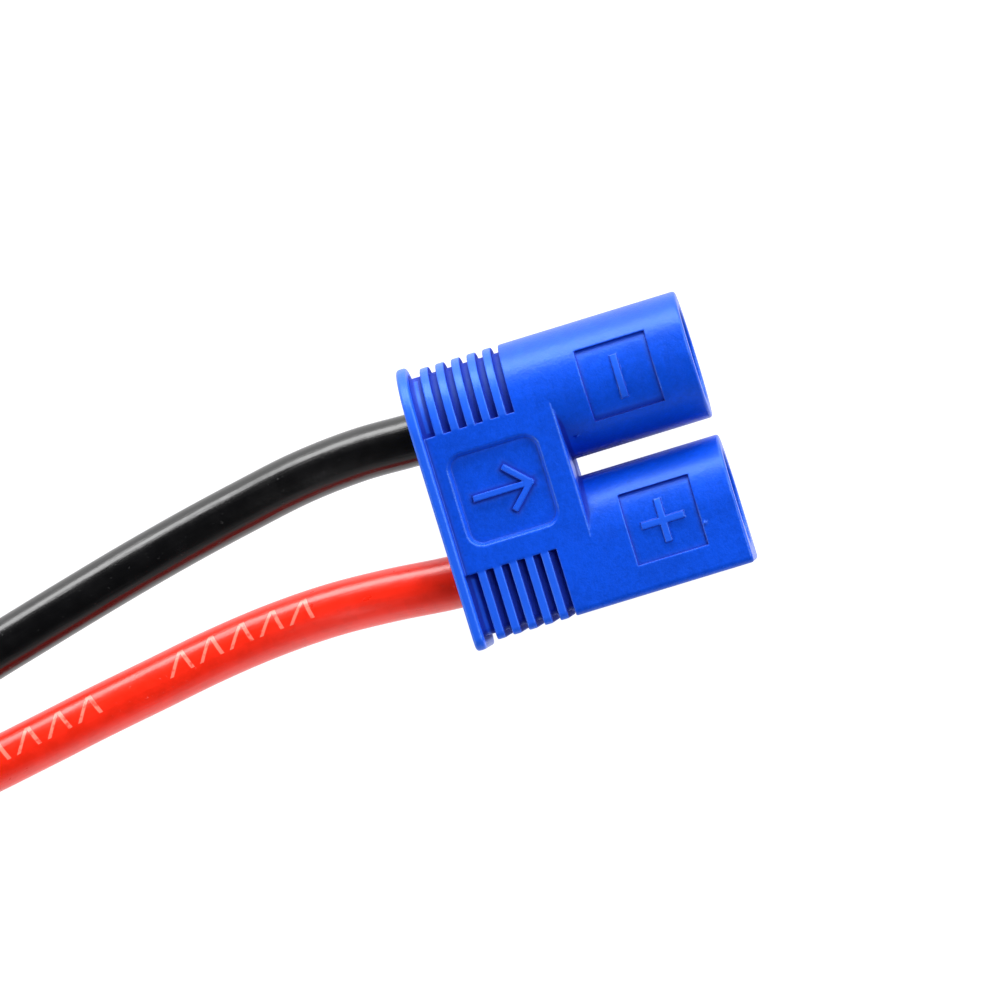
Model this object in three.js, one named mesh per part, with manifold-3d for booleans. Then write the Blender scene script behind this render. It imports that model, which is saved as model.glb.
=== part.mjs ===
// Battery-side lead of a two-pole bullet plug for model aircraft and cars.
//
// Millimetres, +Z up. +X is the way the plug goes into its mate, +Y is the negative side,
// and the origin is under the middle of the plug housing, on the surface that it lies on.
// One moulded housing holds two gold-plated sockets. A silicone wire is soldered into each
// socket and leaves the housing's rear face.

import * as THREE from 'three';
import { mergeVertices } from 'three/addons/utils/BufferGeometryUtils.js';
import Module from 'manifold-3d';

// Housing. Lengths along X are counted from the rear face of the flange.
const housingLength = 16.25;
const prongDiameter = 7.38;
const prongPitch = 8.37;
const flangeThickness = 0.62;
const flangeProud = 0.3;
const webFront = 8.07;
const cornerRadius = 0.4;
const tipChamfer = 0.18;

// Finger grip: ribs on both sides, with grooves between them.
const ribCount = 5;
const firstRib = 1.32;
const ribPitch = 0.917;
const ribWidth = 0.49;
const grooveDepth = 0.4;
const grooveInnerEnd = 3.98;

// Marks on the top.
const panel = { rear: 1.59, front: 6.51, halfWidth: 2.48, corner: 0.75, depth: 0.3, slope: 0.2 };
const arrow = { tail: 2.48, tip: 5.63, head: 1.15, stroke: 0.36 };
const frameSide = 4.04;
const frameMiddle = 12.05;
const frameDepth = 0.16;
const signStroke = 0.4;
const signLength = 2.5;

// Sockets, counted from the same rear face.
const cupMouth = 1.5;
const cupFloor = 6.4;
const boreFloor = 7.8;
const socketMouth = 15.2;
const contactDiameter = 4.5;
const cupBore = 3.4;
const pinBore = 3.6;
const collar = { rear: 6.65, front: 7.3, diameter: 5.2 };
const chamberDiameter = 5.6;
const looseFit = 0.2;
const solderGap = 0.12;

// Wires: 16 gauge, with soft silicone insulation.
const wireDiameter = 3.0;
const insulationBore = 1.9;
const conductorDiameter = 1.5;
const insulationLength = 100;
const bareEnd = 5;
const wireStep = 5;
const insulationStart = 1.2;
const restHeight = wireDiameter / 2 + 0.01;

// Worked out from the sizes above.
const prongRadius = prongDiameter / 2;
const axisHeight = prongRadius + flangeProud;
const poleY = prongPitch / 2;
const halfWidth = poleY + prongRadius;
const top = axisHeight + prongRadius;
const rearX = -housingLength / 2;
const beyond = 2;
const roundSteps = 10;
const turnedSteps = 24;

const wasm = await Module();
wasm.setup();

// ---------------------------------------------------------------- solids and booleans

function toSolid(geometry) {
  const bare = geometry.clone();
  bare.deleteAttribute('normal');
  bare.deleteAttribute('uv');
  const merged = mergeVertices(bare, 1e-5);
  return new wasm.Manifold(new wasm.Mesh({
    numProp: 3,
    vertProperties: new Float32Array(merged.attributes.position.array),
    triVerts: new Uint32Array(merged.index.array),
  }));
}

function toGeometry(solid) {
  const mesh = solid.getMesh();
  const geometry = new THREE.BufferGeometry();
  geometry.setAttribute('position', new THREE.BufferAttribute(mesh.vertProperties, 3));
  geometry.setIndex(new THREE.BufferAttribute(mesh.triVerts, 1));
  return geometry;
}

const join = (solids) => solids.reduce((all, next) => all.add(next));
const cut = (solid, cutters) => cutters.reduce((left, next) => left.subtract(next), solid);

// An outline drawn as (y, z), made into a prism from one distance along X to another.
function prism(outline, from, to, chamfer = 0) {
  const geometry = new THREE.ExtrudeGeometry(outline, {
    depth: to - from - 2 * chamfer,
    curveSegments: roundSteps,
    bevelEnabled: chamfer > 0,
    bevelThickness: chamfer,
    bevelSize: chamfer,
    bevelOffset: -chamfer,
    bevelSegments: 1,
  });
  geometry.translate(0, 0, from + chamfer);
  geometry.applyMatrix4(new THREE.Matrix4().makeBasis(
    new THREE.Vector3(0, 1, 0), new THREE.Vector3(0, 0, 1), new THREE.Vector3(1, 0, 0)));
  return toSolid(geometry);
}

function block(x, y, z) {
  const geometry = new THREE.BoxGeometry(x[1] - x[0], y[1] - y[0], z[1] - z[0]);
  geometry.translate((x[0] + x[1]) / 2, (y[0] + y[1]) / 2, (z[0] + z[1]) / 2);
  return toSolid(geometry);
}

// A turned solid about a line along X, from a profile of [distance along X, radius].
function turned(profile, y) {
  const points = profile.map(([along, radius]) => new THREE.Vector2(radius, along));
  const geometry = new THREE.LatheGeometry(points, turnedSteps);
  geometry.rotateZ(-Math.PI / 2);
  geometry.translate(0, y, axisHeight);
  return toSolid(geometry);
}

// ---------------------------------------------------------------- housing

// A section that is round towards +Y, about roundY, and square with small corners at outerY.
function plugOutline(roundY, radius, outerY, corner) {
  const outline = new THREE.Shape();
  outline.moveTo(roundY, axisHeight - radius);
  outline.absarc(roundY, axisHeight, radius, -Math.PI / 2, Math.PI / 2);
  outline.lineTo(outerY + corner, axisHeight + radius);
  outline.absarc(outerY + corner, axisHeight + radius - corner, corner, Math.PI / 2, Math.PI);
  outline.lineTo(outerY, axisHeight - radius + corner);
  outline.absarc(outerY + corner, axisHeight - radius + corner, corner, Math.PI, Math.PI * 1.5);
  return outline;
}

function circleOutline(y, radius) {
  const outline = new THREE.Shape();
  outline.absarc(y, axisHeight, radius, 0, Math.PI * 2);
  return outline;
}

function body() {
  return prism(plugOutline(poleY, prongRadius, -halfWidth, cornerRadius), 0, webFront);
}

function flange() {
  const radius = prongRadius + flangeProud;
  const outline = plugOutline(poleY, radius, -halfWidth - flangeProud, cornerRadius + flangeProud);
  return prism(outline, 0, flangeThickness, flangeThickness / 5);
}

function prongs() {
  const rear = webFront - beyond;
  return [
    prism(circleOutline(poleY, prongRadius), rear, housingLength, tipChamfer),
    prism(plugOutline(-poleY, prongRadius, -halfWidth, cornerRadius), rear, housingLength, tipChamfer),
  ];
}

// What the grooves leave on each side: a round core on the negative side, a square one
// on the positive side.
function gripCore() {
  const radius = prongRadius - grooveDepth;
  return prism(plugOutline(poleY, radius, -halfWidth + grooveDepth, cornerRadius), 0, webFront);
}

function grooves() {
  const tall = [-beyond, top + beyond];
  const stretches = [[flangeThickness, firstRib]];
  for (let rib = 0; rib < ribCount; rib++) {
    const ribFront = firstRib + rib * ribPitch + ribWidth;
    stretches.push([ribFront, firstRib + (rib + 1) * ribPitch]);
  }
  const core = gripCore();
  return stretches.flatMap((x) => [
    block(x, [grooveInnerEnd, halfWidth + beyond], tall).subtract(core),
    block(x, [-halfWidth - beyond, -grooveInnerEnd], tall).subtract(core),
  ]);
}

// A bar drawn on the top from one point to another, with the given stroke width.
function bar(from, to, stroke) {
  const [dx, dy] = [to[0] - from[0], to[1] - from[1]];
  const geometry = new THREE.BoxGeometry(Math.hypot(dx, dy) + stroke, stroke, prongRadius);
  geometry.rotateZ(Math.atan2(dy, dx));
  geometry.translate((from[0] + to[0]) / 2, (from[1] + to[1]) / 2, top);
  return toSolid(geometry);
}

function arrowBars() {
  const { tail, tip, head, stroke } = arrow;
  return join([
    bar([tail, 0], [tip, 0], stroke),
    bar([tip - head, head], [tip, 0], stroke),
    bar([tip - head, -head], [tip, 0], stroke),
  ]);
}

// The middle panel: a rounded pocket with sloping walls, and a raised arrow in it.
function panelPocket() {
  const { rear, front, halfWidth: half, corner, depth, slope } = panel;
  const outline = new THREE.Shape();
  outline.absarc(front - corner, half - corner, corner, 0, Math.PI / 2);
  outline.absarc(rear + corner, half - corner, corner, Math.PI / 2, Math.PI);
  outline.absarc(rear + corner, corner - half, corner, Math.PI, Math.PI * 1.5);
  outline.absarc(front - corner, corner - half, corner, Math.PI * 1.5, Math.PI * 2);
  const geometry = new THREE.ExtrudeGeometry(outline, {
    depth: beyond,
    curveSegments: 4,
    bevelThickness: depth,
    bevelSize: slope,
    bevelSegments: 1,
  });
  geometry.translate(0, 0, top);
  return toSolid(geometry).subtract(arrowBars());
}

// A square pocket of even depth over a prong's top, which leaves the pole's sign standing.
function signPocket(y, prongShape, signBars) {
  const half = frameSide / 2;
  const floor = prism(prongShape, 0, housingLength);
  const square = block([frameMiddle - half, frameMiddle + half], [y - half, y + half],
    [axisHeight + prongRadius / 2, top + beyond]);
  return square.subtract(floor).subtract(join(signBars));
}

function signPockets() {
  const reach = (signLength - signStroke) / 2;
  const across = (y) => bar([frameMiddle, y - reach], [frameMiddle, y + reach], signStroke);
  const along = (y) => bar([frameMiddle - reach, y], [frameMiddle + reach, y], signStroke);
  const radius = prongRadius - frameDepth;
  return [
    signPocket(poleY, circleOutline(poleY, radius), [across(poleY)]),
    signPocket(-poleY, plugOutline(-poleY, radius, -halfWidth, cornerRadius),
      [across(-poleY), along(-poleY)]),
  ];
}

// The chamber for one socket: a rear bore with a snap ridge, a step that stops the
// socket's collar, a close bore round the socket and a wider mouth.
function chamber(y) {
  const wide = chamberDiameter / 2;
  const ridge = contactDiameter / 2 + looseFit;
  const step = collar.front + looseFit;
  const ridgeFront = collar.rear - looseFit;
  const mouth = socketMouth - 2 * looseFit;
  return turned([
    [-beyond, 0],
    [-beyond, wide],
    [ridgeFront - 1, wide],
    [ridgeFront - 0.6, ridge],
    [ridgeFront, ridge],
    [ridgeFront, wide],
    [step, wide],
    [step, ridge],
    [mouth - 0.4, ridge],
    [mouth, wide],
    [housingLength + beyond, wide],
    [housingLength + beyond, 0],
  ], y);
}

function housing() {
  const whole = join([body(), flange(), ...prongs()]);
  return cut(whole, [
    ...grooves(), panelPocket(), ...signPockets(), chamber(poleY), chamber(-poleY),
  ]);
}

// ---------------------------------------------------------------- contacts and solder

function contact(y) {
  const outer = contactDiameter / 2;
  const edge = 0.15;
  const barrel = turned([
    [cupFloor, 0],
    [cupFloor, cupBore / 2],
    [cupMouth + edge, cupBore / 2],
    [cupMouth, cupBore / 2 + edge],
    [cupMouth, outer - edge],
    [cupMouth + edge, outer],
    [collar.rear, outer],
    [collar.rear, collar.diameter / 2],
    [collar.front, collar.diameter / 2],
    [collar.front, outer],
    [socketMouth - edge, outer],
    [socketMouth, outer - edge],
    [socketMouth, pinBore / 2 + edge],
    [socketMouth - edge, pinBore / 2],
    [boreFloor, pinBore / 2],
    [boreFloor + edge * 4, 0],
  ], y);
  // The window over the solder cup, open towards the wire.
  const window = block([cupMouth - beyond, cupMouth + 1.8], [y - outer, y + outer],
    [axisHeight + outer * 0.45, axisHeight + outer + beyond]);
  return barrel.subtract(window);
}

// The solder that fills the cup round the wire's strands, with a blind hole for them.
function solder(y) {
  const outer = cupBore / 2 - solderGap;
  const inner = conductorDiameter / 2 + solderGap;
  const strandsEnd = insulationStart + wireStep;
  const floor = cupFloor - solderGap / 2;
  return turned([
    [strandsEnd + solderGap / 2, 0],
    [strandsEnd + solderGap / 2, inner],
    [cupMouth + 0.5, inner],
    [cupMouth + 0.7, inner + 0.25],
    [cupMouth + 2, outer],
    [floor, outer],
    [floor, 0],
  ], y);
}

// ---------------------------------------------------------------- wires

// Centre lines from inside the solder cup to past the stripped end. They leave the housing
// straight, come down to the surface and lie on it.
const routes = {
  negative: [
    [-1.5, poleY, axisHeight], [-5.0, poleY, axisHeight], [-8.3, poleY, axisHeight],
    [-11.4, 4.27, 3.62], [-15.0, 4.02, 2.85], [-18.7, 3.4, 2.1], [-22.4, 2.68, 1.66],
    [-26.2, 1.83, 1.54], [-29.9, 0.92, restHeight], [-33.7, -0.05, restHeight],
    [-38.5, -1.25, restHeight], [-44, -2.25, restHeight], [-51, -2.85, restHeight],
    [-60, -2.95, restHeight], [-70, -2.75, restHeight], [-80, -2.65, restHeight],
    [-91, -2.75, restHeight], [-102, -3.0, restHeight], [-112.5, -3.3, restHeight],
  ],
  positive: [
    [-1.5, -poleY, axisHeight], [-5.0, -poleY, axisHeight], [-8.3, -poleY + 0.04, axisHeight],
    [-12.1, -3.8, 3.55], [-15.6, -3.64, 2.75], [-19.2, -3.78, 2.05], [-22.8, -4.17, 1.64],
    [-26.4, -4.74, 1.54], [-30.1, -5.33, restHeight], [-33.8, -5.98, restHeight],
    [-38.5, -6.75, restHeight], [-44, -7.35, restHeight], [-51, -7.65, restHeight],
    [-60, -7.6, restHeight], [-70, -7.35, restHeight], [-80, -7.3, restHeight],
    [-91, -7.5, restHeight], [-102, -7.75, restHeight], [-112.5, -7.9, restHeight],
  ],
};

// Part of a route, between two distances along it.
class Stretch extends THREE.Curve {
  constructor(route, from, to) {
    super();
    this.route = route;
    this.from = from;
    this.to = to;
  }

  getPoint(t) {
    const distance = this.from + (this.to - this.from) * t;
    return this.route.getPointAt(distance / this.route.getLength());
  }
}

function wireSection(diameter, hole = 0) {
  const section = new THREE.Shape();
  section.absarc(0, 0, diameter / 2, 0, Math.PI * 2);
  if (hole > 0) {
    const inside = new THREE.Path();
    inside.absarc(0, 0, hole / 2, 0, Math.PI * 2);
    section.holes.push(inside);
  }
  return section;
}

function along(route, from, to, section, steps) {
  return new THREE.ExtrudeGeometry(section, {
    extrudePath: new Stretch(route, from, to),
    steps,
    curveSegments: 4,
    bevelEnabled: false,
  });
}

// Distances along a route are counted from the end of the strands in the solder cup.
function wire(points) {
  const route = new THREE.CatmullRomCurve3(points.map((point) => new THREE.Vector3(...point)));
  route.arcLengthDivisions = 600;
  const start = points[0][0] - (rearX + insulationStart + wireStep);
  const stripped = start + wireStep + insulationLength;
  const steps = insulationLength / wireStep;
  return {
    insulation: along(route, start + wireStep, stripped,
      wireSection(wireDiameter, insulationBore), steps),
    conductor: along(route, start, stripped, wireSection(conductorDiameter), steps + 1),
    tinned_end: along(route, stripped + solderGap, stripped + bareEnd,
      wireSection(conductorDiameter + 0.1), 1),
  };
}

// ---------------------------------------------------------------- materials and assembly

const finish = (color, roughness, metalness = 0) =>
  new THREE.MeshStandardMaterial({ color, roughness, metalness });

const finishes = {
  housing: () => finish(0x0c4fda, 0.45),
  contact: () => finish(0xd9a93c, 0.25, 1),
  solder: () => finish(0xb9bcc0, 0.35, 1),
  conductor: () => finish(0xc98a5e, 0.4, 1),
  tinned_end: () => finish(0xbfc2c6, 0.35, 1),
  insulation_negative: () => finish(0x141615, 0.55),
  insulation_positive: () => finish(0xe8230f, 0.5),
};

function named(name, geometry, material) {
  geometry.computeVertexNormals();
  const mesh = new THREE.Mesh(geometry, material);
  mesh.name = name;
  return mesh;
}

const plug = new THREE.Group();
plug.position.x = rearX;
plug.add(named('housing', toGeometry(housing()), finishes.housing()));

const lead = new THREE.Group();
lead.add(plug);

for (const [pole, y] of [['negative', poleY], ['positive', -poleY]]) {
  plug.add(named(`contact_${pole}`, toGeometry(contact(y)), finishes.contact()));
  plug.add(named(`solder_${pole}`, toGeometry(solder(y)), finishes.solder()));
  const { insulation, conductor, tinned_end: tinnedEnd } = wire(routes[pole]);
  lead.add(named(`insulation_${pole}`, insulation, finishes[`insulation_${pole}`]()));
  lead.add(named(`conductor_${pole}`, conductor, finishes.conductor()));
  lead.add(named(`tinned_end_${pole}`, tinnedEnd, finishes.tinned_end()));
}

export default lead;
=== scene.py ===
"""A battery lead for model aircraft and cars: a blue two-pole bullet plug on a black and a
red silicone wire. Each operator makes one piece, or one group of like pieces, round the
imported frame, in metres: +X is the way the plug goes into its mate, +Y the negative side."""

import math

import bmesh
import bpy
import numpy as np
from mathutils import Matrix, Vector


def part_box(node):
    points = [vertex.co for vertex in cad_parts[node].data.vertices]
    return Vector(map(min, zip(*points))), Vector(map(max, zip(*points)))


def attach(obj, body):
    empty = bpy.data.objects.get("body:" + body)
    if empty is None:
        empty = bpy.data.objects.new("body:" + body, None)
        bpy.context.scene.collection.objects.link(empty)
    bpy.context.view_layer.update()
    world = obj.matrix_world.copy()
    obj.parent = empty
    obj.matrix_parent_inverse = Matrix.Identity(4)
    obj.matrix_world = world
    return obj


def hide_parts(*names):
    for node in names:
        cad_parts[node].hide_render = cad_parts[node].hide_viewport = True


bl_info = {
    "name": "Bullet Plug Lead",
    "version": (1, 0, 0),
    "blender": (4, 5, 0),
    "location": "View3D > Sidebar > Lead",
    "description": "Makes a battery lead with a two-pole bullet plug and two silicone wires",
    "category": "Add Mesh",
}

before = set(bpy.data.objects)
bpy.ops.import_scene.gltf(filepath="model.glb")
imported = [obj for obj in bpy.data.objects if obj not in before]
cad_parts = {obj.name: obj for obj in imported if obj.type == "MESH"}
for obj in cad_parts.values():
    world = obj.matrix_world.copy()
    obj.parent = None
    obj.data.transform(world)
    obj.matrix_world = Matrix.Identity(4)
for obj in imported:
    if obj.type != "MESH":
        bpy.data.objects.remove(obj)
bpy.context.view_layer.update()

MM = 0.001
PLUG_LOW, PLUG_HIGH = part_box("housing")
CONTACT_LOW, CONTACT_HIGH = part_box("contact_negative")
PLUG_LENGTH = PLUG_HIGH.x - PLUG_LOW.x
SOCKET_MOUTH = CONTACT_HIGH.x - PLUG_LOW.x
AXIS_HEIGHT = (PLUG_LOW.z + PLUG_HIGH.z) / 2
POLE_Y = (CONTACT_LOW.y + CONTACT_HIGH.y) / 2
POLES = {"negative": 1, "positive": -1}


# ------------------------------------------------------------------ settings


def length(name, default, description):
    return bpy.props.FloatProperty(
        name=name,
        description=description,
        default=default,
        min=0.0,
        precision=5,
        subtype="DISTANCE",
        unit="LENGTH",
    )


def colour(name, default, description):
    return bpy.props.FloatVectorProperty(
        name=name,
        description=description,
        default=default,
        size=3,
        min=0.0,
        max=1.0,
        subtype="COLOR",
    )


class HousingSettings(bpy.types.PropertyGroup):
    prong_diameter: length("Prong diameter", 7.38 * MM, "Outside of each prong")
    flange_thickness: length("Flange thickness", 0.62 * MM, "Rear flange, along the plug")
    flange_proud: length("Flange step", 0.3 * MM, "How far the flange stands out")
    web_front: length("Web front", 8.07 * MM, "Where the slot between the prongs starts")
    corner: length("Corner radius", 0.4 * MM, "Corners of the square prong")
    rib_first: length("First rib", 1.32 * MM, "Rear edge of the first grip rib")
    rib_pitch: length("Rib pitch", 0.917 * MM, "From one grip rib to the next")
    rib_width: length("Rib width", 0.49 * MM, "Width of a grip rib")
    groove_depth: length("Groove depth", 0.4 * MM, "Depth between the grip ribs")
    panel_depth: length("Panel depth", 0.3 * MM, "Depth of the middle panel")
    sign_frame: length("Sign frame", 4.04 * MM, "Side of the square round each sign")
    sign_depth: length("Sign depth", 0.16 * MM, "Depth of the square round each sign")
    softness: length("Edge softness", 0.07 * MM, "Radius of the moulded edges")
    blue: colour("Plastic", (0.001, 0.063, 0.645), "Colour of the moulded plastic")


class WireSettings(bpy.types.PropertyGroup):
    diameter: length("Wire diameter", 3.0 * MM, "Over the silicone")
    bore: length("Insulation bore", 1.9 * MM, "Inside of the silicone")
    strands: length("Strand bundle", 1.5 * MM, "Diameter of the copper strands")
    insulated: length("Insulated length", 100 * MM, "Length of silicone on each wire")
    inside: length("Start inside", 1.2 * MM, "Where the silicone starts, from the rear face")
    bare: length("Bare end", 5 * MM, "Length of the tinned end")
    black: colour("Black silicone", (0.001, 0.001, 0.0015), "Negative wire")
    red: colour("Red silicone", (0.93, 0.018, 0.003), "Positive wire")
    print_ink: colour("Print", (0.95, 0.36, 0.27), "Marks on the positive wire")
    copper: colour("Copper", (0.72, 0.36, 0.2), "Strands inside the wires")
    tin: colour("Tin", (0.66, 0.67, 0.69), "Tinned ends and solder")


class ContactSettings(bpy.types.PropertyGroup):
    barrel: length("Barrel diameter", 4.5 * MM, "Outside of each socket")
    pin_bore: length("Pin bore", 3.6 * MM, "Inside of each socket")
    cup_bore: length("Cup bore", 3.4 * MM, "Inside of the solder cup")
    chamber: length("Chamber diameter", 5.6 * MM, "Hole in the housing for each socket")
    collar: length("Collar diameter", 5.2 * MM, "Collar that locks in the housing")
    gold: colour("Gold", (0.9, 0.6, 0.2), "Plating")


class StageSettings(bpy.types.PropertyGroup):
    width: length("View width", 55.56 * MM, "Width of the view at the plug's top")
    distance: length("Camera distance", 400 * MM, "From the plug's top to the camera")
    lean: bpy.props.FloatProperty(
        name="Lean",
        description="Tilt of the camera from straight above, towards the prongs",
        default=math.radians(3.8),
        subtype="ANGLE",
    )
    turn: bpy.props.FloatProperty(
        name="Turn",
        description="How far the plug points up and to the right of straight right",
        default=math.radians(17),
        subtype="ANGLE",
    )
    floor: colour("Floor", (0.2, 0.2, 0.2), "Colour of the floor, which also glows white")


# ------------------------------------------------------------------ shaders


class Signal:
    """A shader socket whose arithmetic is written as Python expressions."""

    def __init__(self, shader, socket):
        self.shader = shader
        self.socket = socket

    def math(self, operation, *values):
        inputs = dict(enumerate(values))
        return self.shader.node("ShaderNodeMath", {"operation": operation}, inputs)

    def __add__(self, other):
        return self.math("ADD", self, other)

    def __sub__(self, other):
        return self.math("SUBTRACT", self, other)

    def __rsub__(self, other):
        return self.math("SUBTRACT", other, self)

    def __mul__(self, other):
        return self.math("MULTIPLY", self, other)

    def __abs__(self):
        return self.math("ABSOLUTE", self)

    def __lt__(self, other):
        return self.math("LESS_THAN", self, other)

    def __gt__(self, other):
        return self.math("GREATER_THAN", self, other)

    __radd__ = __add__
    __rmul__ = __mul__

    def repeat(self, period):
        """Distance to the nearest multiple of period, with its sign."""
        return self.math("WRAP", self, period / 2, -period / 2)

    def parts(self):
        """The x, y and z of a vector."""
        split = self.shader.node("ShaderNodeSeparateXYZ", None, {0: self})
        return [Signal(self.shader, socket) for socket in split.socket.node.outputs]

    def rise(self, low, high):
        """0 below low, 1 above high, and smooth between them."""
        settings = {"interpolation_type": "SMOOTHSTEP"}
        return self.shader.node(
            "ShaderNodeMapRange", settings, {"Value": self, "From Min": low, "From Max": high}
        )


class Shader:
    """A node tree, and the one method that adds any node to it."""

    def __init__(self, owner):
        owner.use_nodes = True
        self.owner = owner
        self.tree = owner.node_tree

    def feed(self, socket, value):
        if isinstance(value, Signal):
            self.tree.links.new(value.socket, socket)
        elif isinstance(value, tuple) and len(value) == 3 and socket.type == "RGBA":
            socket.default_value = (*value, 1.0)
        else:
            socket.default_value = value

    def node(self, kind, settings=None, inputs=None, output=0):
        made = self.tree.nodes.new(kind)
        for name, value in (settings or {}).items():
            setattr(made, name, value)
        for name, value in (inputs or {}).items():
            self.feed(made.inputs[name], value)
        return Signal(self, made.outputs[output]) if len(made.outputs) else None

    def noise(self, place, scale, detail=2.0, roughness=0.5):
        inputs = {"Vector": place, "Scale": scale, "Detail": detail, "Roughness": roughness}
        return self.node("ShaderNodeTexNoise", None, inputs)

    def stored(self, name, output):
        """A value that the mesh stores at each point."""
        return self.node("ShaderNodeAttribute", {"attribute_name": name}, output=output)

    def blend(self, share, first, second):
        inputs = {"Factor": share, 6: first, 7: second}
        return self.node("ShaderNodeMix", {"data_type": "RGBA"}, inputs, output=2)

    def bump(self, height, distance, strength=1.0):
        inputs = {"Height": height, "Distance": distance, "Strength": strength}
        return self.node("ShaderNodeBump", None, inputs)


SOCKETS = {
    "specular_ior_level": "Specular IOR Level",
    "specular_tint": "Specular Tint",
    "emission_strength": "Emission Strength",
}


class Finish(Shader):
    """A material of one Principled surface."""

    def __init__(self, name, **sockets):
        super().__init__(bpy.data.materials.new(name))
        self.surface = self.tree.nodes["Principled BSDF"]
        self.place = self.node("ShaderNodeTexCoord", output="Object")
        for socket, value in sockets.items():
            self.set(SOCKETS.get(socket, socket.title()), value)

    def set(self, socket, value):
        self.feed(self.surface.inputs[socket], value)


def shade(colour, share):
    return tuple(channel * share for channel in colour)


def moulded_plastic(blue):
    """Satin blue plastic, with a painted highlight where it is thin and painted shade, a deeper blue,
    in its grooves and recesses.
    """
    finish = Finish("moulded_plastic", specular_ior_level=0.5, specular_tint=(0.55, 1.0, 0.8))
    flow = finish.noise(finish.place, 260, 3)
    grain = finish.noise(finish.place, 7500, 3, 0.6)
    mottle = finish.noise(finish.place, 2400, 3, 0.6)
    red, green, strong = blue
    # Painted highlight: the paler blue goes on the thin raised parts, standing in for light through
    # the thin plastic.
    pale = (red + 0.01, green * 1.55, min(1.0, strong * 1.16))
    painted_groove_shade = (red * 0.2, green * 0.25, strong * 0.6)
    cloudy = (flow * 0.35 + mottle * 0.35 + grain * 0.3).rise(0.35, 0.65)
    tone = finish.blend(cloudy, shade(blue, 0.84), shade(blue, 1.12))
    thin, shade_mask = finish.stored("thin", "Fac"), finish.stored("shade_mask", "Fac")
    tone = finish.blend(thin, tone, pale)
    # Painted shade: a deeper blue where the surface is shut in, in the grooves, the panel, the sign
    # squares and the holes.
    finish.set("Base Color", finish.blend(shade_mask.rise(0.2, 0.52), tone, painted_groove_shade))
    finish.set("Roughness", 0.27 + grain * 0.1 + mottle * 0.06 + shade_mask * 0.5)
    finish.set("Normal", finish.bump(grain * 0.7 + mottle * 0.8, 0.018 * MM))
    return finish.owner


def gold_plate(gold):
    finish = Finish("gold_plate", metallic=1.0)
    turning = finish.noise(finish.place, 2600, 2)
    finish.set("Base Color", gold)
    finish.set("Roughness", 0.16 + turning * 0.12)
    return finish.owner


def silicone(name, base, roughness):
    """Soft rubber with faint streaks along the wire and a little dust. Returns the finish, the
    place on the wire (distance along it, offset to the side, height) and the base colour."""
    finish = Finish(name, specular_ior_level=0.75)
    on_wire = finish.stored("on_wire", "Vector")
    stretched = finish.node(
        "ShaderNodeVectorMath", {"operation": "MULTIPLY"}, {0: on_wire, 1: (0.06, 1, 1)}
    )
    streaks = finish.noise(stretched, 5200, 2)
    mottle = finish.noise(finish.place, 900, 3, 0.6)
    dust = finish.noise(finish.place, 5200, 1).rise(0.74, 0.78)
    pale = tuple(channel * 1.15 + 0.0005 for channel in base)
    tone = finish.blend(mottle.rise(0.35, 0.7), base, pale)
    finish.set("Roughness", roughness + mottle * 0.12 + streaks * 0.06)
    finish.set("Normal", finish.bump(streaks * 0.7 + mottle * 0.8 + dust * 0.4, 0.016 * MM))
    return finish, on_wire, tone


def black_silicone(wires):
    finish, _, tone = silicone("black_silicone", tuple(wires.black), 0.15)
    finish.set("Base Color", tone)
    return finish.owner


# Groups of small chevrons along the top of the positive wire.
MARKS = {
    "first": 19.4 * MM,
    "aside": 0.5 * MM,
    "height": 1.16 * MM,
    "stroke": 0.24 * MM,
    "pitch": 1.95 * MM,
    "group": 9.75 * MM,
    "group_pitch": 13.65 * MM,
}


def red_silicone(wires):
    """Red silicone with a worn row of small chevrons in place of the maker's print."""
    finish, on_wire, tone = silicone("red_silicone", tuple(wires.red), 0.21)
    along, aside, height = on_wire.parts()
    across = aside - MARKS["aside"]
    place = along + across * 0.3 - MARKS["first"]
    chevron = abs(place.repeat(MARKS["pitch"])) + across * 0.55 - 0.36 * MM
    row = (abs(across) < MARKS["height"] / 2) * (height > 0)
    group = (abs(place.repeat(MARKS["group_pitch"])) < MARKS["group"] / 2) * (along > 13 * MM)
    worn = finish.noise(finish.place, 3000, 2).rise(0.3, 0.5)
    ink = (abs(chevron) < MARKS["stroke"] / 2) * row * group * (worn * 0.4 + 0.18)
    finish.set("Base Color", finish.blend(ink, tone, tuple(wires.print_ink)))
    return finish.owner


def soft_metal(name, base, roughness):
    """Copper, tin or solder, a little uneven in colour and surface."""
    finish = Finish(name, metallic=1.0)
    mottle = finish.noise(finish.place, 3200, 3)
    finish.set("Base Color", finish.blend(mottle.rise(0.3, 0.7), shade(base, 0.7), base))
    finish.set("Roughness", roughness + mottle * 0.15)
    finish.set("Normal", finish.bump(mottle, 0.02 * MM))
    return finish.owner


# ------------------------------------------------------------------ meshes


def new_piece(name, points, faces, material):
    mesh = bpy.data.meshes.new(name)
    mesh.from_pydata(points.tolist(), [], faces)
    mesh.materials.append(material)
    mesh.shade_smooth()
    piece = bpy.data.objects.new(name, mesh)
    bpy.context.scene.collection.objects.link(piece)
    return piece


def apply_modifiers(piece):
    bpy.context.view_layer.update()
    graph = bpy.context.evaluated_depsgraph_get()
    done = bpy.data.meshes.new_from_object(piece.evaluated_get(graph))
    piece.modifiers.clear()
    piece.data = done


def simplify(piece, plain, share):
    """Leaves a share of the faces of a piece, all taken from its plain points."""
    group = piece.vertex_groups.new(name="plain")
    group.add(np.flatnonzero(plain).tolist(), 1.0, "REPLACE")
    fewer = piece.modifiers.new("fewer", "DECIMATE")
    fewer.ratio, fewer.vertex_group = share, group.name
    apply_modifiers(piece)


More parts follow.
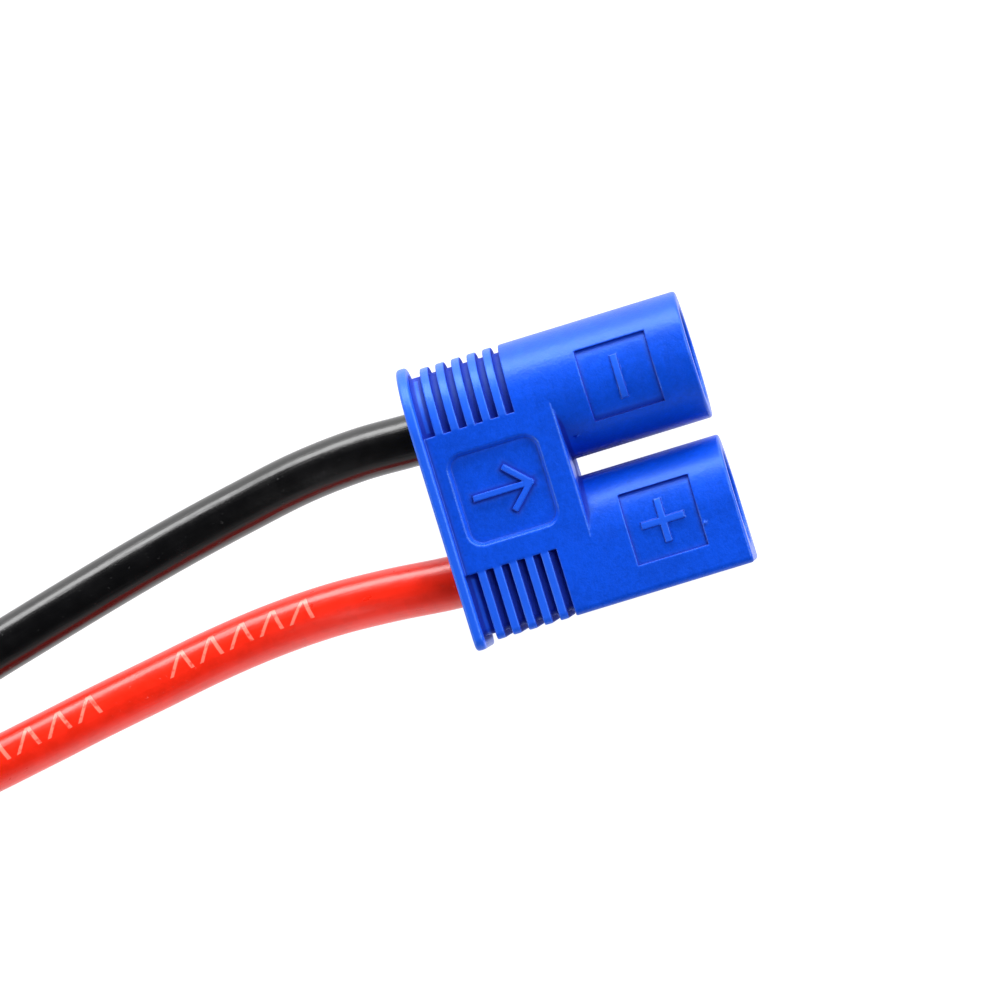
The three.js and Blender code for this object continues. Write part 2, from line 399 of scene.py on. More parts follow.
def mesh_points(piece):
    found = np.empty(len(piece.data.vertices) * 3)
    piece.data.vertices.foreach_get("co", found)
    return found.reshape(-1, 3)


def place_piece(piece, slot, *nodes):
    """Lets a piece stand for CAD nodes on the lead's one body."""
    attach(piece, "root")
    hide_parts(*nodes)
    return piece


# A solid is given by its field: a function of place that is the distance to the surface,
# negative inside. These join and cut two such distances, with a round of radius r.


def meet(a, b, r):
    """What is inside both, with its edge rounded."""
    over = np.hypot(np.maximum(a + r, 0), np.maximum(b + r, 0))
    return np.minimum(np.maximum(a, b), -r) + over


def fuse(a, b, r):
    """What is inside either, with a fillet between them."""
    return -meet(-a, -b, r)


def carve(a, b, r):
    """What is inside a and outside b, with the new edge rounded."""
    return meet(a, -b, r)


def span(value, low, high):
    return np.abs(value - (low + high) / 2) - (high - low) / 2


def stroke(x, y, start, end, width):
    """A straight bar with square ends, drawn on a plane."""
    run = math.dist(start, end)
    cos, sin = (end[0] - start[0]) / run, (end[1] - start[1]) / run
    along = (x - start[0]) * cos + (y - start[1]) * sin
    aside = (y - start[1]) * cos - (x - start[0]) * sin
    return np.maximum(span(along, -width / 2, run + width / 2), np.abs(aside) - width / 2)


def planes(*stretches):
    """Grid planes over (start, end, step) stretches that follow on from each other."""
    parts = []
    for start, end, step in stretches:
        count = max(1, round((end - start) / step))
        parts.append(np.linspace(start, end, count, endpoint=False))
    return np.array([*np.concatenate(parts), stretches[-1][1]])


def slopes(field, points, step=0.001 * MM):
    """The field's gradient at each point."""
    found = np.empty_like(points)
    for axis in range(3):
        shift = np.zeros(3)
        shift[axis] = step
        ahead, behind = points + shift, points - shift
        found[:, axis] = (field(*ahead.T) - field(*behind.T)) / (2 * step)
    return found


def crossing_points(values, grid, cells):
    """For each cell, the mean of the places where its edges cross the surface."""
    total = np.zeros((len(cells), 3))
    count = np.zeros(len(cells))
    for axis in range(3):
        others = [(axis + 1) % 3, (axis + 2) % 3]
        for corner in ((0, 0), (0, 1), (1, 0), (1, 1)):
            low = cells.copy()
            low[:, others] += corner
            high = low.copy()
            high[:, axis] += 1
            a, b = values[tuple(low.T)], values[tuple(high.T)]
            crosses = (a < 0) != (b < 0)
            share = np.where(crosses, a / np.where(crosses, a - b, 1), 0)
            for k in range(3):
                start, end = grid[k][low[:, k]], grid[k][high[:, k]]
                total[:, k] += crosses * (start + (end - start) * share)
            count += crosses
    return total / count[:, None]


def cell_quads(inside, number):
    """One quad round each grid edge that crosses the surface, facing outwards."""
    quads = []
    for axis in range(3):
        a, b = (axis + 1) % 3, (axis + 2) % 3
        first = np.take(inside, range(inside.shape[axis] - 1), axis)
        second = np.take(inside, range(1, inside.shape[axis]), axis)
        edges = np.argwhere(first != second)
        ring = []
        for step_a, step_b in ((-1, -1), (0, -1), (0, 0), (-1, 0)):
            cell = edges.copy()
            cell[:, a] += step_a
            cell[:, b] += step_b
            ring.append(number[tuple(cell.T)])
        quad = np.stack(ring, axis=1)
        inward = ~first[tuple(edges.T)]
        quad[inward] = quad[inward][:, ::-1]
        quads.append(quad)
    return np.concatenate(quads)


def skin(field, grid):
    """Points and quads of the surface where the field is 0, on a grid of planes."""
    x, y, z = grid
    values = field(x[:, None, None], y[None, :, None], z[None, None, :])
    inside = values < 0
    corners = sum(
        inside[i : i - 1 or None, j : j - 1 or None, k : k - 1 or None].astype(np.int8)
        for i in (0, 1)
        for j in (0, 1)
        for k in (0, 1)
    )
    cells = np.argwhere((corners > 0) & (corners < 8))
    number = np.full(corners.shape, -1, np.int64)
    number[tuple(cells.T)] = np.arange(len(cells))
    points = crossing_points(values, grid, cells)
    for _ in range(3):
        slope = slopes(field, points)
        steep = np.maximum((slope**2).sum(axis=1), 0.1)
        points -= slope * (field(*points.T) / steep)[:, None]
    return points, cell_quads(inside, number)


# ------------------------------------------------------------------ housing


PANEL = {"rear": 1.39 * MM, "front": 6.71 * MM, "half_width": 2.68 * MM, "corner": 0.9 * MM}
PANEL_SLOPE = 0.67
ARROW = {"tail": 2.48 * MM, "tip": 5.63 * MM, "head": 1.15 * MM, "stroke": 0.36 * MM}
SIGN_X = 12.05 * MM
SIGN_STROKE = 0.4 * MM
SIGN_REACH = 1.05 * MM
GROOVE_END = 3.98 * MM
COLLAR_REAR, COLLAR_FRONT = 6.65 * MM, 7.3 * MM
FIT = 0.2 * MM
RIB_COUNT = 5
HOUSING_SHARE = 0.375
NUBS = ((8.79 * MM, 1.7 * MM), (14.23 * MM, -5.0 * MM))


def plug_section(y, z, round_y, radius, outer_y, corner):
    """A section that is round about round_y towards +Y, and square at outer_y."""
    circle = np.hypot(y - round_y, z) - radius
    square = meet(np.abs(z) - radius, outer_y - y, corner)
    return np.where(y > round_y, circle, square)


def nubs(size, x, y, z):
    """Small spots of flash on the prongs."""
    radius = size.prong_diameter / 2
    found = np.full(np.shape(x), 1.0)
    for nub_x, nub_y in NUBS:
        inward = min(0.0, abs(nub_y) - POLE_Y)
        nub_z = math.sqrt(radius**2 - inward**2)
        reach = np.sqrt((x - nub_x) ** 2 + (y - nub_y) ** 2 + (z - nub_z) ** 2)
        found = np.minimum(found, reach - 0.09 * MM)
    return found


def outer_form(size, x, y, z):
    """Body, flange and prongs, before anything is cut out of them."""
    radius = size.prong_diameter / 2
    half = POLE_Y + radius
    section = plug_section(y, z, POLE_Y, radius, -half, size.corner)
    body = meet(section, span(x, 0, size.web_front), 0.18 * MM)
    wide = radius + size.flange_proud
    corner = size.corner + size.flange_proud
    rim = plug_section(y, z, POLE_Y, wide, -half - size.flange_proud, corner)
    flange = meet(rim, span(x, 0, size.flange_thickness), 0.2 * MM)
    prong = span(x, size.web_front / 2, PLUG_LENGTH)
    round_prong = meet(np.hypot(y - POLE_Y, z) - radius, prong, 0.16 * MM)
    square_section = plug_section(y, z, -POLE_Y, radius, -half, size.corner)
    square_prong = meet(square_section, prong, 0.16 * MM)
    plain = np.minimum(np.minimum(round_prong, square_prong), body)
    return fuse(fuse(plain, flange, size.softness), nubs(size, x, y, z), 0.04 * MM)


def grip_grooves(size, x, y, z):
    """The gaps beside the ribs, round on the negative side and square on the other."""
    radius = size.prong_diameter / 2 - size.groove_depth
    outer = -POLE_Y - size.prong_diameter / 2 + size.groove_depth
    core = plug_section(y, z, POLE_Y, radius, outer, size.corner)
    gap = span(x, size.flange_thickness, size.rib_first)
    for rib in range(RIB_COUNT):
        rear = size.rib_first + rib * size.rib_pitch
        gap = np.minimum(gap, span(x, rear + size.rib_width, rear + size.rib_pitch))
    sides = GROOVE_END - np.abs(y)
    return np.maximum(np.maximum(gap, sides), -core)


def arrow_mark(x, y):
    tip = (ARROW["tip"], 0)
    barb = ARROW["tip"] - ARROW["head"]
    width = ARROW["stroke"]
    shaft = stroke(x, y, (ARROW["tail"], 0), tip, width)
    head = stroke(x, np.abs(y), (barb, ARROW["head"]), tip, width)
    return np.minimum(shaft, head)


def middle_panel(size, x, y, z):
    """The sunken panel, with sloping walls, round a raised arrow."""
    top = size.prong_diameter / 2
    inset = PANEL["corner"]
    past_x = span(x, PANEL["rear"] + inset, PANEL["front"] - inset)
    past_y = np.abs(y) - PANEL["half_width"] + inset
    outline = np.minimum(np.maximum(past_x, past_y), 0) - inset
    outline = outline + np.hypot(np.maximum(past_x, 0), np.maximum(past_y, 0))
    walls = (outline + (top - z) * PANEL_SLOPE) / math.hypot(1, PANEL_SLOPE)
    pocket = np.maximum(walls, top - size.panel_depth - z)
    raised = meet(arrow_mark(x, y), z - top + 0.04 * MM, size.softness)
    return carve(pocket, raised, 0.02 * MM)


def sign_marks(x, y):
    across = np.abs(y) - POLE_Y
    cross_bar = stroke(x, across, (SIGN_X, -SIGN_REACH), (SIGN_X, SIGN_REACH), SIGN_STROKE)
    long_bar = stroke(x, across, (SIGN_X - SIGN_REACH, 0), (SIGN_X + SIGN_REACH, 0), SIGN_STROKE)
    return np.where(y > 0, cross_bar, np.minimum(cross_bar, long_bar))


def sign_squares(size, x, y, z):
    """A shallow square over each prong, round a raised minus or plus."""
    radius = size.prong_diameter / 2
    half = size.sign_frame / 2
    round_prong = np.hypot(y - POLE_Y, z) - radius
    square_prong = plug_section(y, z, -POLE_Y, radius, -POLE_Y - radius, size.corner)
    surface = np.where(y > 0, round_prong, square_prong)
    across = np.abs(y) - POLE_Y
    square = np.maximum(span(x, SIGN_X - half, SIGN_X + half), np.abs(across) - half)
    raised = meet(sign_marks(x, y), surface + 0.02 * MM, size.softness)
    pocket = np.maximum(np.maximum(square, -surface - size.sign_depth), radius / 2 - z)
    return carve(pocket, raised, 0.02 * MM)


def chambers(holes, x, y, z):
    """The two holes through the housing, each with a snap ridge, a step and a wider mouth."""
    across = np.hypot(np.abs(y) - POLE_Y, z)
    wide = across - holes.chamber / 2
    mouth = SOCKET_MOUTH - 2 * FIT
    lead_in = (across - holes.chamber / 2 + mouth - x) * math.sqrt(0.5)
    found = across - holes.barrel / 2 - FIT
    found = np.minimum(found, np.maximum(wide, x - COLLAR_REAR + 4 * FIT))
    found = np.minimum(found, np.maximum(wide, span(x, COLLAR_REAR - FIT, COLLAR_FRONT + FIT)))
    return np.minimum(found, np.maximum(wide, lead_in))


def housing_field(size, holes):
    """The housing's field, with x from its rear face and z from the height of its axes."""

    def field(x, y, z):
        whole = outer_form(size, x, y, z)
        for cut in (grip_grooves, middle_panel, sign_squares):
            whole = carve(whole, cut(size, x, y, z), size.softness)
        return carve(whole, chambers(holes, x, y, z), 0.1 * MM)

    return field


def thin_share(size, x, y, z):
    """1 on what stands out thin: the flange's rim, the ribs, the arrow, the signs, the nubs. This is
    the mask of a painted highlight.
    """
    last_rib = size.rib_first + (RIB_COUNT - 1) * size.rib_pitch + size.rib_width
    ribs = np.maximum(x - last_rib, GROOVE_END - np.abs(y))
    marks = np.minimum(arrow_mark(x, y), sign_marks(x, y))
    marks = np.maximum(marks, -z)
    nearest = np.minimum(np.minimum(x - size.flange_thickness, ribs), marks)
    nearest = np.minimum(nearest, nubs(size, x, y, z) - 0.03 * MM)
    return np.clip(-nearest / (0.08 * MM), 0, 1)


def housing_grid(size):
    """Close planes where the housing has detail, and wide ones where it is even."""
    close, wide = 0.08 * MM, 0.3 * MM
    reach = PLUG_HIGH.y + 0.2 * MM
    height = AXIS_HEIGHT + 0.2 * MM
    grip_end = size.rib_first + RIB_COUNT * size.rib_pitch + 1.0 * MM
    sign_start = SIGN_X - size.sign_frame / 2 - 0.3 * MM
    sign_end = SIGN_X + size.sign_frame / 2 + 0.3 * MM
    along = planes(
        (-0.2 * MM, grip_end, close),
        (grip_end, size.web_front - 0.4 * MM, wide / 2),
        (size.web_front - 0.4 * MM, size.web_front + 0.4 * MM, close),
        (size.web_front + 0.4 * MM, sign_start, wide),
        (sign_start, sign_end, close),
        (sign_end, PLUG_LENGTH - 0.5 * MM, wide / 2),
        (PLUG_LENGTH - 0.5 * MM, PLUG_LENGTH + 0.2 * MM, close),
    )
    return along, planes((-reach, reach, close)), planes((-height, height, close))


def plain_places(holes, points):
    """Where the housing has no fine detail: low on its sides, below, and in its holes."""
    low = points[:, 2] < 1.2 * MM
    return low | (chambers(holes, *points.T) < 0.02 * MM)


def make_housing(size, holes):
    field = housing_field(size, holes)
    points, quads = skin(field, housing_grid(size))
    corner = np.array((PLUG_LOW.x, 0, AXIS_HEIGHT))
    plastic = moulded_plastic(tuple(size.blue))
    piece = new_piece("plug_housing", points + corner, quads.tolist(), plastic)
    simplify(piece, plain_places(holes, points), HOUSING_SHARE)
    points = mesh_points(piece) - corner
    normals = slopes(field, points)
    normals /= np.linalg.norm(normals, axis=1)[:, None]
    # How shut in each point is: the mask of the painted shade in grooves and recesses, which also
    # makes them rougher.
    above = 0.4 * MM
    shade_mask = 1 - field(*(points + normals * above).T) / above
    for name, values in (("thin", thin_share(size, *points.T)), ("shade_mask", shade_mask)):
        found = piece.data.attributes.new(name, "FLOAT", "POINT")
        found.data.foreach_set("value", np.clip(values, 0, 1).astype(np.float32))
    piece.data.normals_split_custom_set_from_vertices(normals.tolist())
    return place_piece(piece, "housing_plastic", "housing")


# ------------------------------------------------------------------ rings along a route


class Route:
    """A smooth line through points: a centripetal Catmull-Rom curve, measured in metres."""

    def __init__(self, points):
        points = np.array(points, float)
        ends = 2 * points[0] - points[1], 2 * points[-1] - points[-2]
        through = np.array([ends[0], *points, ends[1]])
        spans = [self.span(*through[i : i + 4]) for i in range(len(points) - 1)]
        self.points = np.concatenate([*spans, points[-1:]])
        steps = np.linalg.norm(np.diff(self.points, axis=0), axis=1)
        self.reach = np.concatenate([[0], np.cumsum(steps)])

    @staticmethod
    def span(before, start, end, after, steps=60):
        gaps = [math.dist(a, b) ** 0.5 for a, b in ((before, start), (start, end), (end, after))]
        t0, t1, t2 = (max(gap, 1e-9) for gap in gaps)
        step = end - start
        leave = (start - before) / t0 - (end - before) / (t0 + t1) + step / t1
        arrive = step / t1 - (after - start) / (t1 + t2) + (after - end) / t2
        t = np.linspace(0, 1, steps, endpoint=False)[:, None]
        blend = (2 * t**3 - 3 * t**2 + 1, -2 * t**3 + 3 * t**2)
        turn = (t**3 - 2 * t**2 + t, t**3 - t**2)
        return blend[0] * start + blend[1] * end + (turn[0] * leave + turn[1] * arrive) * t1

    def at(self, distance):
        return np.array([np.interp(distance, self.reach, self.points[:, k]) for k in range(3)])

    def frame(self, distance):
        """The place at a distance along the route, with its sideways and upward directions."""
        near = 0.2 * MM
        ahead = self.at(distance + near) - self.at(distance - near)
        side = np.cross(ahead, (0, 0, 1))
        up = np.cross(side, ahead)
        return self.at(distance), side / np.linalg.norm(side), up / np.linalg.norm(up)


def contact_axis(pole):
    y = POLES[pole] * POLE_Y
    ends = (PLUG_LOW.x, y, AXIS_HEIGHT), (PLUG_HIGH.x, y, AXIS_HEIGHT)
    return Route(np.linspace(*ends, 4))


def soften(profile, radius, steps=3):
    """The same (distance, radius) profile with each of its corners rounded."""
    profile = [np.array(point, float) for point in profile]
    found = [profile[0]]
    for before, corner, after in zip(profile, profile[1:], profile[2:]):
        ends = []
        for other in (before, after):
            run = np.linalg.norm(other - corner)
            ends.append(corner + (other - corner) * min(radius, run * 0.45) / run)
        for t in np.linspace(0, 1, steps + 1):
            found.append(ends[0] * (1 - t) ** 2 + corner * 2 * t * (1 - t) + ends[1] * t * t)
    return [*found, profile[-1]]


def ringed(name, route, profile, material, sides=64, closed=False, strands=0, lay=0.0):
    """A solid of rings round a route. Strands give its side that many ridges, one turn per lay."""
    angle = np.arange(sides) * (2 * math.pi / sides)
    points, places, rings = [], [], []
    for distance, radius in profile:
        place, side, up = route.frame(distance)
        centre = radius < 1e-7
        turned = angle[:1] if centre else angle
        wave = np.abs(np.sin((turned + distance * lay) * strands / 2)) - 1
        radii = radius * (1 + wave * (0.1 if strands else 0))
        across, height = np.cos(turned) * radii, np.sin(turned) * radii
        rings.append(np.arange(len(turned)) + len(points))
        points.extend(place + across[:, None] * side + height[:, None] * up)
        places.extend(np.stack([np.full(len(turned), distance), across, height], axis=1))
    pairs = list(zip(rings, rings[1:]))
    if closed:
        pairs.append((rings[-1], rings[0]))
    faces = [face for pair in pairs for face in ring_faces(*pair)]
    piece = new_piece(name, np.array(points), faces, material)
    face_outwards(piece)
    place = piece.data.attributes.new("on_wire", "FLOAT_VECTOR", "POINT")
    place.data.foreach_set("vector", np.array(places, np.float32).ravel())
    return piece


def ring_faces(first, second):
    """Faces between two rings of points, either of which may be a single point."""
    if len(first) == 1 and len(second) == 1:
        return []
    ahead = {len(ring): np.roll(ring, -1) for ring in (first, second)}
    if len(first) == 1:
        return [(first[0], b, a) for a, b in zip(second, ahead[len(second)])]
    if len(second) == 1:
        return [(a, b, second[0]) for a, b in zip(first, ahead[len(first)])]
    corners = zip(first, np.roll(first, -1), np.roll(second, -1), second)
    return [tuple(face) for face in corners]


def face_outwards(piece):
    shape = bmesh.new()
    shape.from_mesh(piece.data)
    bmesh.ops.recalc_face_normals(shape, faces=shape.faces)
    shape.to_mesh(piece.data)
    shape.free()


# ------------------------------------------------------------------ wires


# Centre lines from the end of the strands in the solder cup, in millimetres: out of the
# housing, down to the surface, and along it to past the tinned end.
WIRE_POINTS = {
    "negative": [
        (-1.5, 4.185, 3.99), (-5.0, 4.185, 3.99), (-8.3, 4.185, 3.99),
        (-11.4, 4.27, 3.62), (-15.0, 4.02, 2.85), (-18.7, 3.4, 2.1), (-22.4, 2.68, 1.66),
        (-26.2, 1.83, 1.54), (-29.9, 0.92, 1.51), (-33.7, -0.05, 1.51),
        (-38.5, -1.25, 1.51), (-44, -2.25, 1.51), (-51, -2.85, 1.51),
        (-60, -2.95, 1.51), (-70, -2.75, 1.51), (-80, -2.65, 1.51),
        (-91, -2.75, 1.51), (-102, -3.0, 1.51), (-112.5, -3.3, 1.51),
    ],
    "positive": [
        (-1.5, -4.185, 3.99), (-5.0, -4.185, 3.99), (-8.3, -4.145, 3.99),
        (-12.1, -3.8, 3.55), (-15.6, -3.64, 2.75), (-19.2, -3.78, 2.05), (-22.8, -4.17, 1.64),
        (-26.4, -4.74, 1.54), (-30.1, -5.33, 1.51), (-33.8, -5.98, 1.51),
        (-38.5, -6.75, 1.51), (-44, -7.35, 1.51), (-51, -7.65, 1.51),
        (-60, -7.6, 1.51), (-70, -7.35, 1.51), (-80, -7.3, 1.51),
        (-91, -7.5, 1.51), (-102, -7.75, 1.51), (-112.5, -7.9, 1.51),
    ],
}
SILICONE = {"negative": "black_silicone", "positive": "red_silicone"}
STRANDS_INSIDE = 5 * MM
GAP = 0.12 * MM


def wire_route(pole):
    return Route(np.array(WIRE_POINTS[pole]) * MM)


def wire_start(wires, pole):
    """Distance along the route at which the silicone starts."""
    return WIRE_POINTS[pole][0][0] * MM - (PLUG_LOW.x + wires.inside)


def even(start, end, step):
    return np.linspace(start, end, max(2, round((end - start) / step) + 1))


def strand_bundle(wires, pole, copper, tin):
    """The copper strands inside the silicone, and their tinned end past it."""
    route, start = wire_route(pole), wire_start(wires, pole)
    radius = wires.strands / 2
    stripped = start + wires.insulated
    middle = [(d, radius) for d in even(start - STRANDS_INSIDE, stripped, 1.0 * MM)]
    profile = [(middle[0][0], 0), *middle, (stripped, 0)]
    bundle = ringed(f"strands_{pole}", route, profile, copper, sides=48, strands=16, lay=260)
    place_piece(bundle, "copper_strands", f"conductor_{pole}")
    thick = radius + 0.04 * MM
    tip = stripped + wires.bare
    coat = [(d, thick) for d in even(stripped + GAP, tip - 0.3 * MM, 0.12 * MM)]
    dome = [(tip - 0.15 * MM, thick * 0.86), (tip - 0.04 * MM, thick * 0.55), (tip, 0)]
    profile = [(stripped + GAP, 0), *coat, *dome]
    tinned = ringed(f"tinned_{pole}", route, profile, tin, sides=96, strands=14, lay=420)
    return bundle, place_piece(tinned, "tinned_strands", f"tinned_end_{pole}")


def insulation(wires, pole, material, with_pieces):
    """The silicone sleeve: one closed solid with a bore, cut square at both ends."""
    route, start = wire_route(pole), wire_start(wires, pole)
    end = start + wires.insulated
    outer, inner, lip = wires.diameter / 2, wires.bore / 2, 0.1 * MM
    profile = [(d, outer) for d in even(start + lip, end - lip, 0.5 * MM)]
    profile += [(end - lip * 0.3, outer - lip * 0.3), (end, outer - lip), (end, inner)]
    profile += [(d, inner) for d in even(start, end - lip, 2.0 * MM)[::-1]]
    profile += [(start, outer - lip), (start + lip * 0.3, outer - lip * 0.3)]
    sleeve = ringed(f"insulation_of_{pole}", route, profile, material, closed=True)
    place_piece(sleeve, SILICONE[pole], f"insulation_{pole}")
    path = [tuple(route.at(d)) for d in even(start, end, 2.0 * MM)]
    return sleeve


# ------------------------------------------------------------------ contacts and solder


CUP_MOUTH, CUP_FLOOR = 1.5 * MM, 6.4 * MM
PIN_FLOOR = 7.8 * MM


def contact_socket(holes, pole, gold):
    """A turned socket: solder cup, collar and pin bore, with a window over the cup."""
    outer, pin, cup = holes.barrel / 2, holes.pin_bore / 2, holes.cup_bore / 2
    mouth = SOCKET_MOUTH
    profile = soften(
        [
            (CUP_FLOOR, 0), (CUP_FLOOR, cup), (CUP_MOUTH, cup), (CUP_MOUTH, outer),
            (COLLAR_REAR, outer), (COLLAR_REAR, holes.collar / 2),
            (COLLAR_FRONT, holes.collar / 2), (COLLAR_FRONT, outer),
            (mouth, outer), (mouth, pin + 0.12 * MM), (mouth - 0.3 * MM, pin),
            (PIN_FLOOR, pin), (PIN_FLOOR + 0.6 * MM, 0),
        ],
        0.1 * MM,
    )
    socket = ringed(f"socket_{pole}", contact_axis(pole), profile, gold, sides=96)
    y = POLES[pole] * POLE_Y
    low = (CUP_MOUTH - 1 * MM, y - outer, AXIS_HEIGHT + outer * 0.45)
    high = (CUP_MOUTH + 1.8 * MM, y + outer, AXIS_HEIGHT + outer * 2)
    cut_block(socket, low, high)
    return place_piece(socket, "gold_plate", f"contact_{pole}")


def cut_block(piece, low, high):
    """Takes a block, from x past the plug's rear, out of a piece."""
    corners = np.array([(x, y, z) for x in (0, 1) for y in (0, 1) for z in (0, 1)])
    low, high = np.array(low), np.array(high)
    points = low + corners * (high - low) + (PLUG_LOW.x, 0, 0)
    sides = [(0, 1, 3, 2), (4, 6, 7, 5), (0, 4, 5, 1), (2, 3, 7, 6), (0, 2, 6, 4), (1, 5, 7, 3)]
    block = new_piece("window_cutter", points, sides, piece.data.materials[0])
    face_outwards(block)
    cut = piece.modifiers.new("window", "BOOLEAN")
    cut.operation, cut.solver, cut.object = "DIFFERENCE", "EXACT", block
    apply_modifiers(piece)
    piece.data.set_sharp_from_angle(angle=math.radians(40))
    bpy.data.objects.remove(block)


def solder_fill(wires, holes, pole, metal):
    """Solder between the strands and the cup, drawn up round the strands at its mouth."""
    outer, inner = holes.cup_bore / 2 - GAP, wires.strands / 2 + GAP
    strands_end = wires.inside + STRANDS_INSIDE + GAP / 2
    rim, lip = CUP_MOUTH + 0.5 * MM, inner + 0.08 * MM
    rise = [(rim + 1.5 * MM * t, lip + (outer - lip) * t**2) for t in np.linspace(0, 1, 8)]
    profile = [
        (strands_end, 0), (strands_end, inner), (rim, inner), *rise,
        (CUP_FLOOR - GAP / 2, outer), (CUP_FLOOR - GAP / 2, 0),
    ]
    fill = ringed(f"solder_fill_{pole}", contact_axis(pole), profile, metal)
    return place_piece(fill, "solder", f"solder_{pole}")


# ------------------------------------------------------------------ stage


# What the camera and the lights point at, over the plug.
AIM = Vector((-4.4, -0.47, 7.68)) * MM


def add_camera(stage):
    """A long lens nearly straight above, leaning towards the prongs."""
    data = bpy.data.cameras.new("camera")
    data.sensor_width = 36.0
    data.lens = data.sensor_width * stage.distance / stage.width
    data.clip_start, data.clip_end = 0.01, 10.0
    camera = bpy.data.objects.new("camera", data)
    lean, turn = stage.lean, stage.turn
    forward = Vector((math.cos(lean), 0, -math.sin(lean)))
    sideways = Vector((0, 1, 0))
    right = forward * math.cos(turn) - sideways * math.sin(turn)
    up = forward * math.sin(turn) + sideways * math.cos(turn)
    back = right.cross(up)
    camera.matrix_world = Matrix((right, up, back)).transposed().to_4x4()
    camera.location = AIM + back * stage.distance
    bpy.context.scene.collection.objects.link(camera)
    bpy.context.scene.camera = camera


# Name, direction from the plug, sides in metres and watts of each soft light.
SOFTBOX_DISTANCE = 0.6
SOFTBOXES = (
    ("side_window", (0.1, 1.0, 0.22), (0.9, 0.26), 5.8),
    ("key", (0.95, 0.4, 0.85), (0.5, 0.5), 4.2),
    ("fill", (-1.0, -0.3, 0.45), (0.5, 0.4), 2.0),
)


def add_softbox(name, towards, size, watts):
    data = bpy.data.lights.new(name, "AREA")
    data.shape, data.energy = "RECTANGLE", watts
    data.size, data.size_y = size
    lamp = bpy.data.objects.new(name, data)
    direction = Vector(towards).normalized()
    lamp.location = AIM + direction * SOFTBOX_DISTANCE
    lamp.rotation_euler = direction.to_track_quat("Z", "Y").to_euler()
    lamp.visible_camera = False
    bpy.context.scene.collection.objects.link(lamp)


def pale_world():
    """A pale horizon under a dark ceiling."""
    world = bpy.data.worlds.new("pale_world")
    bpy.context.scene.world = world
    sky = Shader(world)
    sky.tree.nodes.clear()
    height = sky.node("ShaderNodeTexCoord", output="Generated").parts()[2]
    strength = 0.62 - height.rise(0.0, 0.75) * 0.59
    glow = sky.node("ShaderNodeBackground", None, {"Color": (1, 1, 1), "Strength": strength})
    sky.node("ShaderNodeOutputWorld", None, {"Surface": glow})


def add_floor(stage):
    steps = 96
    angle = np.arange(steps) * (2 * math.pi / steps)
    points = np.stack([np.cos(angle) * 4, np.sin(angle) * 4, np.zeros(steps)], axis=1)
    finish = Finish("pale_floor", roughness=0.8, specular_ior_level=0.2, emission_strength=1.0)
    tone = finish.noise(finish.place, 8, 2)
    pale = tuple(stage.floor)
    finish.set("Base Color", finish.blend(tone, shade(pale, 0.98), pale))
    finish.set("Emission Color", (1, 1, 1))
    floor = new_piece("floor", points, [tuple(range(steps))], finish.owner)


# ------------------------------------------------------------------ operators


class LEAD_OT_stage(bpy.types.Operator):
    """Set up the pale floor, the soft lights and the camera above the plug"""

    bl_idname = "lead.stage"
    bl_label = "Make Stage"

    def execute(self, context):
        stage = context.scene.lead_stage
        context.scene.view_settings.view_transform = "Standard"
        add_camera(stage)
        pale_world()
        add_floor(stage)
        for name, towards, size, watts in SOFTBOXES:
            add_softbox(name, towards, size, watts)
        return {"FINISHED"}


class LEAD_OT_wires(bpy.types.Operator):
    """Make both silicone wires with their strands and tinned ends"""

    bl_idname = "lead.wires"
    bl_label = "Make Wires"

    def execute(self, context):
        wires = context.scene.lead_wires
        copper = soft_metal("copper_strands", tuple(wires.copper), 0.3)
        tin = soft_metal("tinned_strands", tuple(wires.tin), 0.24)
        silicones = {"negative": black_silicone(wires), "positive": red_silicone(wires)}
        for pole, silicone_of_pole in silicones.items():
            insulation(wires, pole, silicone_of_pole, strand_bundle(wires, pole, copper, tin))
        return {"FINISHED"}


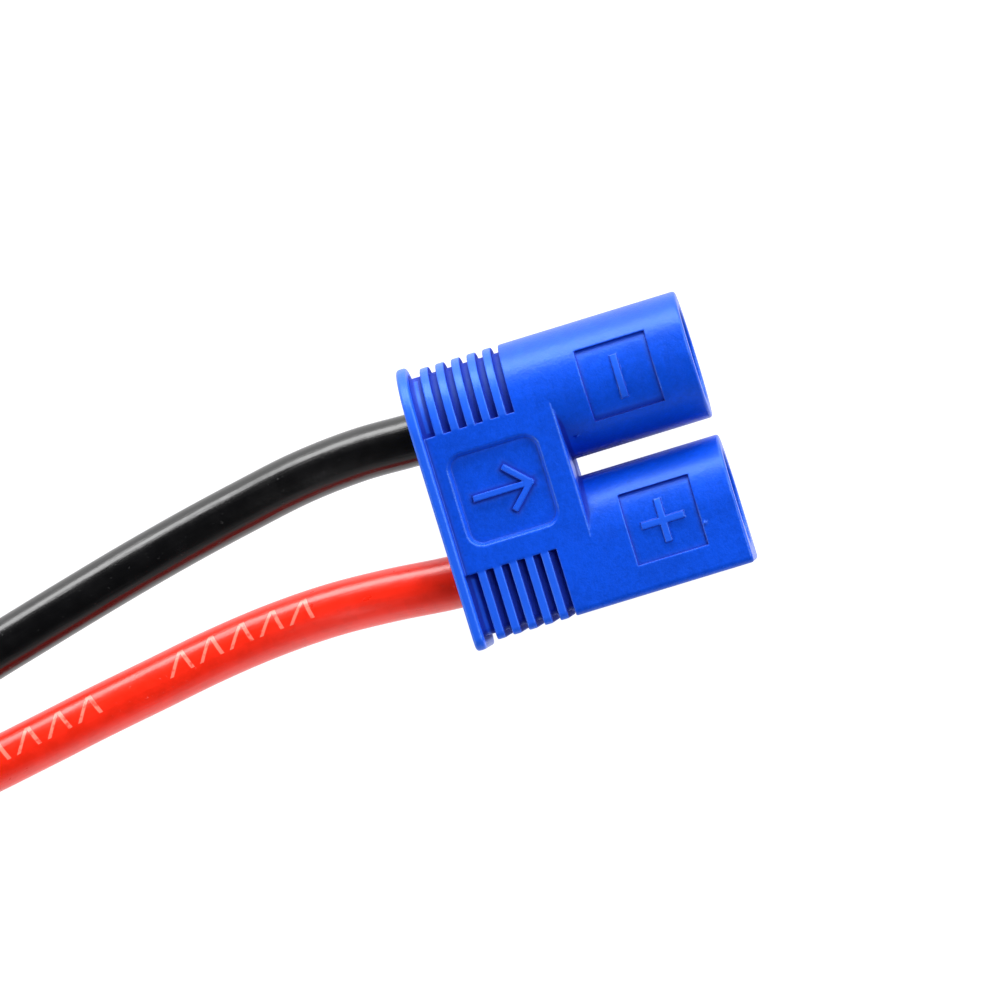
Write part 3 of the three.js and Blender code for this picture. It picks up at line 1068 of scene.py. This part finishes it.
class LEAD_OT_housing(bpy.types.Operator):
    """Make the moulded housing with its grip ribs, panel and polarity signs"""

    bl_idname = "lead.housing"
    bl_label = "Make Housing"

    def execute(self, context):
        make_housing(context.scene.lead_housing, context.scene.lead_contacts)
        return {"FINISHED"}


class LEAD_OT_contacts(bpy.types.Operator):
    """Make both gold-plated sockets and the solder in their cups"""

    bl_idname = "lead.contacts"
    bl_label = "Make Contacts"

    def execute(self, context):
        wires, holes = context.scene.lead_wires, context.scene.lead_contacts
        gold = gold_plate(tuple(holes.gold))
        solder = soft_metal("solder", tuple(wires.tin), 0.2)
        for pole in POLES:
            contact_socket(holes, pole, gold)
            solder_fill(wires, holes, pole, solder)
        return {"FINISHED"}


class LEAD_PT_panel(bpy.types.Panel):
    """Sizes, colours and pieces of the lead"""

    bl_label = "Bullet Plug Lead"
    bl_idname = "LEAD_PT_panel"
    bl_space_type = "VIEW_3D"
    bl_region_type = "UI"
    bl_category = "Lead"

    def draw(self, context):
        for group, operator in PARTS:
            box = self.layout.box()
            settings = getattr(context.scene, group)
            for name in settings.bl_rna.properties.keys():
                if name not in ("rna_type", "name"):
                    box.prop(settings, name)
            box.operator(operator.bl_idname)


GROUPS = {
    "lead_stage": StageSettings,
    "lead_wires": WireSettings,
    "lead_housing": HousingSettings,
    "lead_contacts": ContactSettings,
}
PARTS = (
    ("lead_stage", LEAD_OT_stage),
    ("lead_wires", LEAD_OT_wires),
    ("lead_housing", LEAD_OT_housing),
    ("lead_contacts", LEAD_OT_contacts),
)
CLASSES = (*GROUPS.values(), *(operator for _, operator in PARTS), LEAD_PT_panel)


def register():
    for made in CLASSES:
        bpy.utils.register_class(made)
    for name, group in GROUPS.items():
        setattr(bpy.types.Scene, name, bpy.props.PointerProperty(type=group))


def unregister():
    for name in GROUPS:
        delattr(bpy.types.Scene, name)
    for made in reversed(CLASSES):
        bpy.utils.unregister_class(made)


def main():
    register()
    for make in (bpy.ops.lead.stage, bpy.ops.lead.wires, bpy.ops.lead.housing, bpy.ops.lead.contacts):
        make()


if __name__ == "__main__":
    main()
